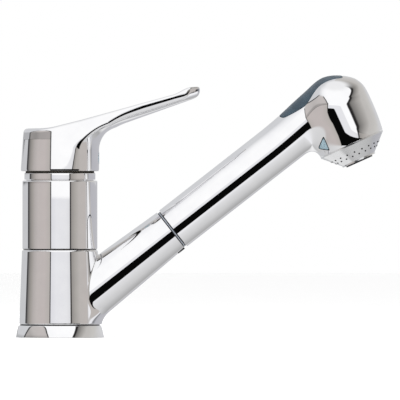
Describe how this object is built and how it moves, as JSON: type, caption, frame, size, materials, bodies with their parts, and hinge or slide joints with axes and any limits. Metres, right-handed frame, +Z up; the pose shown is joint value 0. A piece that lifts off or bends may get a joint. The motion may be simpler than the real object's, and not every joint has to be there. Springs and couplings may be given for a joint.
{
  "type": "pull-out kitchen faucet",
  "caption": "Kitchen faucet with a slanted spout, a hand spray that pulls out of it, a thumb pad on the spray's head and a lever on top of a round body.",
  "frame": {"origin": "centre of the foot on the worktop, on the axis that the spout and the lever turn about", "axes": "+X from the body towards the spray head, +Z up, +Y completes the right-handed frame"},
  "size_m": [0.2447, 0.0588, 0.1748],
  "materials": {
    "polished_chrome": "polished",
    "raw_brass": "cast and turned",
    "black_rubber": "moulded",
    "dark_plastic": "moulded",
    "white_plastic": "moulded",
    "orange_plastic": "moulded",
    "ceramic": "lapped",
    "steel": "drawn",
    "slate_plastic": "satin",
    "teal_plastic": "satin",
    "satin_plate": "satin metallized"
  },
  "bodies": {
    "base": {"base_flange": "polished_chrome", "base_gasket": "black_rubber", "valve_body": "raw_brass", "lower_slip_ring": "dark_plastic", "upper_slip_ring": "dark_plastic", "swivel_seals": "black_rubber", "upper_sleeve": "polished_chrome", "neck_ring": "polished_chrome", "cartridge_nut": "raw_brass", "cartridge_housing": "white_plastic", "cartridge_base": "white_plastic", "cartridge_seals": "black_rubber", "fixed_disc": "ceramic"},
    "turret": {"cartridge_turret": "white_plastic", "stem_pin": "steel"},
    "disc": {"moving_disc": "ceramic", "disc_carrier": "white_plastic"},
    "lever": {"lever_handle": "polished_chrome", "cartridge_stem": "steel", "handle_screw": "steel", "index_plug": "teal_plastic"},
    "spout": {"spout_body": "polished_chrome", "dock_bush": "slate_plastic"},
    "hand_spray": {"spray_shell": "polished_chrome", "spray_shank": "dark_plastic", "hose_washer": "black_rubber", "check_body": "white_plastic", "water_tube": "white_plastic", "tube_seals": "black_rubber", "diverter_body": "dark_plastic", "selector_cradle": "dark_plastic", "rocker_pin": "steel", "pause_sleeve": "dark_plastic", "nozzle_plate": "satin_plate", "nozzle_mat": "black_rubber", "aerator_housing": "dark_plastic", "aerator_core": "white_plastic", "aerator_washer": "black_rubber"},
    "check_valve": {"check_poppet": "orange_plastic", "check_spring": "steel"},
    "selector": {"selector_rocker": "slate_plastic"},
    "plunger": {"diverter_plunger": "orange_plastic", "plunger_seals": "black_rubber", "plunger_spring": "steel"},
    "side_buttons": {"pause_buttons": "teal_plastic", "pause_spindle": "steel", "pause_seals": "black_rubber"}
  },
  "joints": [
    {"name": "spout_swivel", "type": "hinge", "parent": "base", "child": "spout", "pos_m": [0, 0, 0], "axis": [0, 0, 1], "range_deg": [-70, 70]},
    {"name": "spray_pull", "type": "slide", "parent": "spout", "child": "hand_spray", "axis": [0.788, 0, 0.6157], "range_m": [0, 0.2]},
    {"name": "lever_turn", "type": "hinge", "parent": "base", "child": "turret", "pos_m": [0, 0, 0], "axis": [0, 0, 1], "range_deg": [-50, 50]},
    {"name": "lever_lift", "type": "hinge", "parent": "turret", "child": "lever", "pos_m": [0, 0, 0.10121], "axis": [0, -1, 0], "range_deg": [0, 25]},
    {"name": "disc_shift", "type": "slide", "parent": "turret", "child": "disc", "axis": [1, 0, 0], "range_m": [0, 0.0058]},
    {"name": "check_lift", "type": "slide", "parent": "hand_spray", "child": "check_valve", "axis": [0.788, 0, 0.6157], "range_m": [0, 0.0025], "stiffness_N_per_m": 60, "springref_m": -0.003, "deforming": ["check_spring"]},
    {"name": "selector_rock", "type": "hinge", "parent": "hand_spray", "child": "selector", "pos_m": [0.1695, 0, 0.15732], "axis": [0, 1, 0], "range_deg": [0, 6]},
    {"name": "diverter_slide", "type": "slide", "parent": "hand_spray", "child": "plunger", "axis": [0.4099, 0, -0.9121], "range_m": [0, 0.00125], "deforming": ["plunger_spring"]},
    {"name": "pause_push", "type": "slide", "parent": "hand_spray", "child": "side_buttons", "axis": [0, -1, 0], "range_m": [0, 0.002]}
  ],
  "couplings": [
    {"joint": "disc_shift", "follows": "lever_lift", "m_per_rad": 0.012},
    {"joint": "diverter_slide", "follows": "selector_rock", "m_per_rad": 0.0117}
  ]
}
